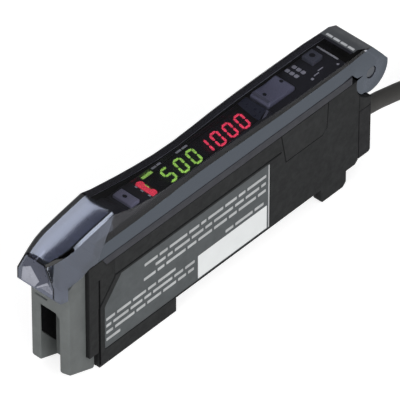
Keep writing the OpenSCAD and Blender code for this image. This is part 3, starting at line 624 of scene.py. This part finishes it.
PLATE_GROOVE_SHADE = (-30.78, -30.42, 0.6, 19.4)
fields("plate_groove_shade", [box(*PLATE_GROOVE_SHADE)], GROOVE_SHADE, PLATE_FACE, PRINT_RISE / 2)

# Panel: light marks beside the numbers, the lamps and the keys, and a highlight painted at the panel's rear
# end, as (x0, x1, y0, y1), and a sheen painted at the window's end

WINDOW_MARKS = ((-10.5, -9.5, 2.05, 2.45), (-9.3, -8.4, 2.05, 2.45), (-5.0, -3.8, 1.75, 2.15),
                (-3.6, -2.4, 1.75, 2.15))
LAMP_MARKS = ((-15.55, -15.3, 0.9, 1.4), (-15.55, -15.3, -0.5, 0.1), (-15.55, -15.3, -2.1, -1.6))
KEY_MARKS = ((25.0, 26.2, -1.5, -1.3), (26.4, 27.6, -1.1, -0.9), (24.0, 24.5, -1.95, -1.5),
             (29.7, 30.1, -2.5, -2.1))
# White line painted as the highlight on the panel's rear edge
PANEL_END_HIGHLIGHT = (30.66, 31.02, -1.5, 3.2)
# Two rows of rounded dots behind the rocking key, each given by its first dot's lowest corner
DOT_ROWS = ((22.6, 0.3), (24.05, 0.1))
DOTS_PER_ROW = 3
DOT, DOT_CORNER, DOT_PITCH = 0.8, 0.2, 1
# Outlines of the window's end, where a bluish sheen is painted as the cover's reflection, and of the
# highlight painted along its near edge
WINDOW_END_SHEEN = ((10.0, -2.7), (12.9, -1.75), (12.9, 2.8), (10.75, 2.8), (10.06, -1.24))
WINDOW_EDGE_HIGHLIGHT = ((10.65, -2.8), (11.7, -2.8), (12.93, -2.27), (12.93, -1.81))


def dot(x, y):
    return box(x, x + DOT, y, y + DOT, DOT_CORNER)


def add_panel_marks():
    dots = [dot(x, y + i * DOT_PITCH) for x, y in DOT_ROWS for i in range(DOTS_PER_ROW)]
    fields("window_marks", [box(*mark) for mark in WINDOW_MARKS], KEY_PRINT, WINDOW_FACE, PRINT_RISE)
    fields("lamp_marks", [box(*mark) for mark in LAMP_MARKS], KEY_PRINT, WINDOW_FACE, PRINT_RISE)
    fields("key_marks", dots + [box(*mark) for mark in KEY_MARKS], KEY_PRINT, KEY_FLOOR, PRINT_RISE)
    fields("panel_end_highlight", [box(*PANEL_END_HIGHLIGHT)], FILM_AND_HIGHLIGHT, KEY_FLOOR, FILM_RISE)
    fields("window_end_sheen", [WINDOW_END_SHEEN], DARK_REFLECTION, WINDOW_FACE, PRINT_RISE / 2)
    fields("window_edge_highlight", [WINDOW_EDGE_HIGHLIGHT], EDGE_HIGHLIGHT, WINDOW_FACE, PRINT_RISE)


add_panel_marks()

# Keys: dimples as (x, y, radius along x, radius along y), and a highlight painted on the rocking key's end

SET_DISH = (-18.95, 0.3, 0.35, 0.45)
MODE_DISH = (28.1, 1.8, 0.5, 0.55)
ROCKER_DISHES = ((19.7, 1.1, 0.32, 0.38), (15.38, 0.92, 0.32, 0.38))
# Pale strip painted as the highlight on the rocking key's end
ROCKER_END_HIGHLIGHT = (14.2, 14.75, -0.95, 2.6)
# The rocking key's top is dished, so its marks start below its highest level and end just under it
ROCKER_LIFT, ROCKER_RISE = -0.07, 0.069


def add_key_marks():
    dishes = [oval(*dish) for dish in ROCKER_DISHES]
    fields("rocker_dishes", dishes, DISH_AND_GAP_SHADE, ROCKER_TOP, ROCKER_RISE, ROCKER_LIFT)
    fields("rocker_end_highlight", [box(*ROCKER_END_HIGHLIGHT)], EDGE_HIGHLIGHT, ROCKER_TOP, ROCKER_RISE, ROCKER_LIFT)
    fields("set_dish", [oval(*SET_DISH)], DISH_AND_GAP_SHADE, SET_TOP, DISH_RISE)
    fields("mode_dish", [oval(*MODE_DISH)], DISH_AND_GAP_SHADE, MODE_TOP, DISH_RISE)


add_key_marks()

# Cover: four light fields on its rear, and a dark band painted as the shade in the gap between the panel's
# end and the cover's rear

REAR_FIELDS = 4
REAR_FIELD_X, REAR_FIELD_Y = 32.55, -3.3
REAR_FIELD_L, REAR_FIELD_W, REAR_FIELD_PITCH = 0.5, 1.35, 1.6
REAR_FIELD_CORNER = 0.08
# Dark band painted as shade in the gap at the panel's rear end
REAR_GAP_SHADE = (31.6, 32.12, -3.6, 3.6, 0.05)
REAR_BAND_LIFT, REAR_BAND_RISE = 0.01, 0.025


def add_rear_fields():
    starts = [REAR_FIELD_Y + i * REAR_FIELD_PITCH for i in range(REAR_FIELDS)]
    end_x = REAR_FIELD_X + REAR_FIELD_L
    outlines = [box(REAR_FIELD_X, end_x, y, y + REAR_FIELD_W, REAR_FIELD_CORNER) for y in starts]
    fields("cover_field", outlines, GREY_FIELD, REAR_ROOF, PRINT_RISE)
    fields("cover_gap_shade", [box(*REAR_GAP_SHADE)], DISH_AND_GAP_SHADE, REAR_ROOF, REAR_BAND_RISE, REAR_BAND_LIFT)


add_rear_fields()

# Nose: reflections in the facets moulded inside its front face, painted as pale highlights, a dark patch and
# a mid patch, as outlines of (y, z)

FACET_PEAK, FACET_KNEE = (1.03, 25.53), (-0.82, 23.26)
PALE_FACET = ((2.79, 24.26), FACET_PEAK, FACET_KNEE, (0.4, 21.3), (3.17, 21.36))
DARK_FACET = ((1.75, 27.25), (-1.9, 27.25), (-2.9, 25.0), (-3.05, 23.9), (-0.35, 21.6), (0.2, 21.6),
              FACET_KNEE, FACET_PEAK, (2.75, 24.3), (2.95, 24.6))
LOW_FACET = ((-0.31, 21.37), (-2.95, 23.7), (-3.7, 22.9), (-3.75, 21.2), (-0.31, 21.2))
FACET_LINE = ((-0.25, 21.45), (-0.25, 21.8), (-2.6, 24.1), (-2.95, 23.75))
# The pale facets reach a little further out than the others, and so stay in front where they meet
FACET_LIFT, DARK_FACET_LIFT = -0.035, -0.03
PALE_FACET_RISE, LOW_FACET_RISE, DARK_FACET_RISE = 0.03, 0.02, 0.015


def add_nose_facets():
    fields("nose_facet_highlights", [PALE_FACET], FROST_AND_HIGHLIGHT, NOSE_FRONT, PALE_FACET_RISE, FACET_LIFT)
    fields("nose_facet_dark_reflection", [DARK_FACET], DARK_REFLECTION, NOSE_FRONT, DARK_FACET_RISE, DARK_FACET_LIFT)
    fields("nose_low_facet_reflection", [LOW_FACET], NOSE_MID_REFLECTION, NOSE_FRONT, LOW_FACET_RISE, FACET_LIFT)
    fields("nose_facet_highlight_line", [FACET_LINE], FROST_AND_HIGHLIGHT, NOSE_FRONT, PALE_FACET_RISE, FACET_LIFT)


add_nose_facets()

# Cable: a lead down to the surface and an oval hank of two layers

CABLE_D = 3
CABLE_L = 2000
TUBE_SIDES = 16
EXIT = (35.6, 0, 8.2)
LEAD = (EXIT, (37.3, 0, 8.15), (39, 0, 8), (43, 0, 7.3), (48, 0, 6), (53, 0, 4.5),
        (58, 0, 3.1), (63, 0, 2.1), (67, 0, 1.6), (70, 0, 1.5))
COIL_X, COIL_Y = 73, -12.2
RUN_L = 54.7
OUTER_R = 12.2
INNER_R = OUTER_R - CABLE_D
TURNS_UP = 6
LEVELS = [CABLE_D * (i + 0.5) for i in range(TURNS_UP)]
# A lap has four legs: a run out, a fold, a run back and a fold
LEGS = 4
POINTS_PER_LEG = 12
# Where in a lap the outer turns climb, the winding moves inwards, and the inner turns come down
CLIMB = (2.35, 2.95)
MOVE_IN = (2, 2.4)
DESCENT = (0.36, 0.96)


def winding_steps():
    """Where the winding changes level or radius: (start, end, radius, height), with places in legs."""
    top = len(LEVELS) - 1
    steps = [(LEGS * i + CLIMB[0], LEGS * i + CLIMB[1], OUTER_R, LEVELS[i + 1]) for i in range(top)]
    steps.append((LEGS * top + MOVE_IN[0], LEGS * top + MOVE_IN[1], INNER_R, LEVELS[top]))
    first = LEGS * (top + 1)
    for i in range(top):
        lap = first + LEGS * i
        steps.append((lap + DESCENT[0], lap + DESCENT[1], INNER_R, LEVELS[top - 1 - i]))
    return steps


def winding_point(place, steps):
    """Point of the winding, whose place is counted in legs from its start."""
    radius, height = OUTER_R, LEVELS[0]
    for start, end, to_radius, to_height in steps:
        if place > start:
            share = min(1, (place - start) / (end - start))
            eased = share * share * (3 - 2 * share)
            radius += (to_radius - radius) * eased
            height += (to_height - height) * eased
    leg = int(place) % LEGS
    part = place - int(place)
    sideways, across = radius * math.sin(math.pi * part), radius * math.cos(math.pi * part)
    if leg == 0:
        return Vector((COIL_X + part * RUN_L, COIL_Y + radius, height))
    if leg == 1:
        return Vector((COIL_X + RUN_L + sideways, COIL_Y + across, height))
    if leg == 2:
        return Vector((COIL_X + RUN_L - part * RUN_L, COIL_Y - radius, height))
    return Vector((COIL_X - sideways, COIL_Y - across, height))


def measured_route():
    """The lead and then the turns, cut at the cable's real length."""
    steps = winding_steps()
    route = [Vector(point) for point in LEAD]
    done = sum((b - a).length for a, b in zip(route, route[1:]))
    count = 0
    while True:
        leg, part = divmod(count, POINTS_PER_LEG)
        point = winding_point(leg + part / POINTS_PER_LEG, steps)
        step = (point - route[-1]).length
        if done + step >= CABLE_L:
            route.append(route[-1] + (point - route[-1]) * ((CABLE_L - done) / step))
            return route
        route.append(point)
        done += step
        count += 1


def tube(name, route, radius, sides, mat):
    """Round tube along a route, closed at both ends. Route and radius are in metres."""
    mesh = bpy.data.meshes.new(name)
    bm = bmesh.new()
    angles = [2 * math.pi * i / sides for i in range(sides)]
    rings = []
    for i, point in enumerate(route):
        along = (route[min(i + 1, len(route) - 1)] - route[max(i - 1, 0)]).normalized()
        side = Vector((0, 0, 1)).cross(along).normalized()
        up = along.cross(side)
        rings.append([bm.verts.new(point + radius * (math.cos(a) * side + math.sin(a) * up)) for a in angles])
    for ring, following in zip(rings, rings[1:]):
        for i in range(sides):
            j = (i + 1) % sides
            bm.faces.new((ring[i], ring[j], following[j], following[i]))
    bm.faces.new(list(reversed(rings[0])))
    bm.faces.new(rings[-1])
    bm.normal_update()
    for face in bm.faces:
        face.smooth = len(face.verts) == 4
    bm.to_mesh(mesh)
    bm.free()
    mesh.materials.append(mat)
    piece = bpy.data.objects.new(name, mesh)
    bpy.context.scene.collection.objects.link(piece)
    return piece


def add_cable():
    route = [point * MM for point in measured_route()]
    cable = tube("cable_run", route, CABLE_D / 2 * MM, TUBE_SIDES, SHEATH)
    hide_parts("cable", "cable_coil")
    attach(cable, "case")


add_cable()

# Camera: its angles, its distance and the point it looks at fit the photograph

TARGET = (10.24, 10.56, 0)
AZIMUTH, ELEVATION, ROLL = math.radians(-47.5), math.radians(42.4), math.radians(0.1)
DISTANCE = 1170.57
LENS, SENSOR_W = 630, 36
CLIP_NEAR, CLIP_FAR = 50, 20000


def add_camera():
    data = bpy.data.cameras.new("camera")
    data.lens, data.sensor_width = LENS, SENSOR_W
    data.clip_start, data.clip_end = CLIP_NEAR * MM, CLIP_FAR * MM
    camera = bpy.data.objects.new("camera", data)
    bpy.context.scene.collection.objects.link(camera)
    back = Vector((math.sin(AZIMUTH) * math.cos(ELEVATION), -math.cos(AZIMUTH) * math.cos(ELEVATION),
                   math.sin(ELEVATION)))
    camera.location = (Vector(TARGET) + back * DISTANCE) * MM
    turn = (-back).to_track_quat("-Z", "Y").to_matrix() @ Matrix.Rotation(ROLL, 3, "Z")
    camera.rotation_euler = turn.to_euler()
    bpy.context.scene.camera = camera


add_camera()

# Floor and backdrop

FLOOR_HALF_W = 3000
FLOOR_Z = -0.02
FLOOR_GREY = (0.5, 0.52)
# Light that the camera and a gloss see in the floor, on top of what the lamps throw on it
FLOOR_SEEN, FLOOR_IN_GLOSS = 0.74, 0.3
# Strength of the backdrop to the camera, of the room's light on the object, and of the room in a gloss
BACKDROP_SEEN, ROOM_LIGHT, ROOM_IN_GLOSS = 1.0, 0.38, 0.08


def floor_material():
    look = Look("floor")
    diffuse = look.add("ShaderNodeBsdfDiffuse")
    look.link(look.ramp(look.noise(size=25, detail=2), *FLOOR_GREY), diffuse.inputs["Color"])
    path = look.add("ShaderNodeLightPath")
    seen = look.scaled(path.outputs["Is Camera Ray"], FLOOR_SEEN)
    glow = look.add("ShaderNodeEmission")
    look.link(look.scaled(path.outputs["Is Glossy Ray"], FLOOR_IN_GLOSS, seen), glow.inputs["Strength"])
    both = look.add("ShaderNodeAddShader")
    look.link(diffuse.outputs[0], both.inputs[0])
    look.link(glow.outputs[0], both.inputs[1])
    look.show(both)
    return look.mat


def add_floor():
    mesh = bpy.data.meshes.new("floor")
    bm = bmesh.new()
    bmesh.ops.create_grid(bm, x_segments=1, y_segments=1, size=FLOOR_HALF_W * MM)
    bm.to_mesh(mesh)
    bm.free()
    mesh.materials.append(floor_material())
    floor = bpy.data.objects.new("floor", mesh)
    floor.location = (0, 0, FLOOR_Z * MM)
    bpy.context.scene.collection.objects.link(floor)


def set_world():
    """White backdrop for the camera, a plain grey room for soft light, and a dark one in gloss."""
    world = bpy.data.worlds.new("studio")
    bpy.context.scene.world = world
    world.use_nodes = True
    tree = world.node_tree
    tree.nodes.clear()
    out = tree.nodes.new("ShaderNodeOutputWorld")
    path = tree.nodes.new("ShaderNodeLightPath")

    def light(strength):
        node = tree.nodes.new("ShaderNodeBackground")
        node.inputs["Color"].default_value = (1, 1, 1, 1)
        node.inputs["Strength"].default_value = strength
        return node

    def choose(ray, off, on):
        node = tree.nodes.new("ShaderNodeMixShader")
        tree.links.new(path.outputs[ray], node.inputs[0])
        tree.links.new(off.outputs[0], node.inputs[1])
        tree.links.new(on.outputs[0], node.inputs[2])
        return node

    room = choose("Is Glossy Ray", light(ROOM_LIGHT), light(ROOM_IN_GLOSS))
    seen = choose("Is Camera Ray", room, light(BACKDROP_SEEN))
    tree.links.new(seen.outputs[0], out.inputs["Surface"])


add_floor()
set_world()

# Lamps: soft panels, given by the direction that they stand in

COOL, COOLER, NEUTRAL = (0.95, 0.96, 1.0), (0.94, 0.95, 1.0), (1, 1, 1)


def add_softbox(name, towards, distance, size, radiance, colour):
    """Panel that stands in the direction towards and shines at the object; its first side runs along X."""
    data = bpy.data.lights.new(name, "AREA")
    width, height = size[0] * MM, size[1] * MM
    data.shape, data.size, data.size_y = "RECTANGLE", width, height
    data.energy, data.color = radiance * math.pi * width * height, colour
    lamp = bpy.data.objects.new(name, data)
    bpy.context.scene.collection.objects.link(lamp)
    back = Vector(towards).normalized()
    along = Vector((0, 1, 0)).cross(back).normalized()
    lamp.location = back * distance * MM
    lamp.rotation_euler = Matrix((along, back.cross(along), back)).transposed().to_euler()


add_softbox("overhead", (0.2, 0.62, 0.79), 900, (300, 300), 2.0, COOLER)
add_softbox("edge", (0.29, -0.75, 0.59), 900, (200, 300), 2.8, COOL)
add_softbox("side", (-0.35, -0.9, 0.45), 1000, (700, 600), 4.0, NEUTRAL)
add_softbox("front", (-0.95, -0.1, 0.4), 1000, (500, 500), 4.6, NEUTRAL)
bpy.context.scene.view_settings.view_transform = "Standard"
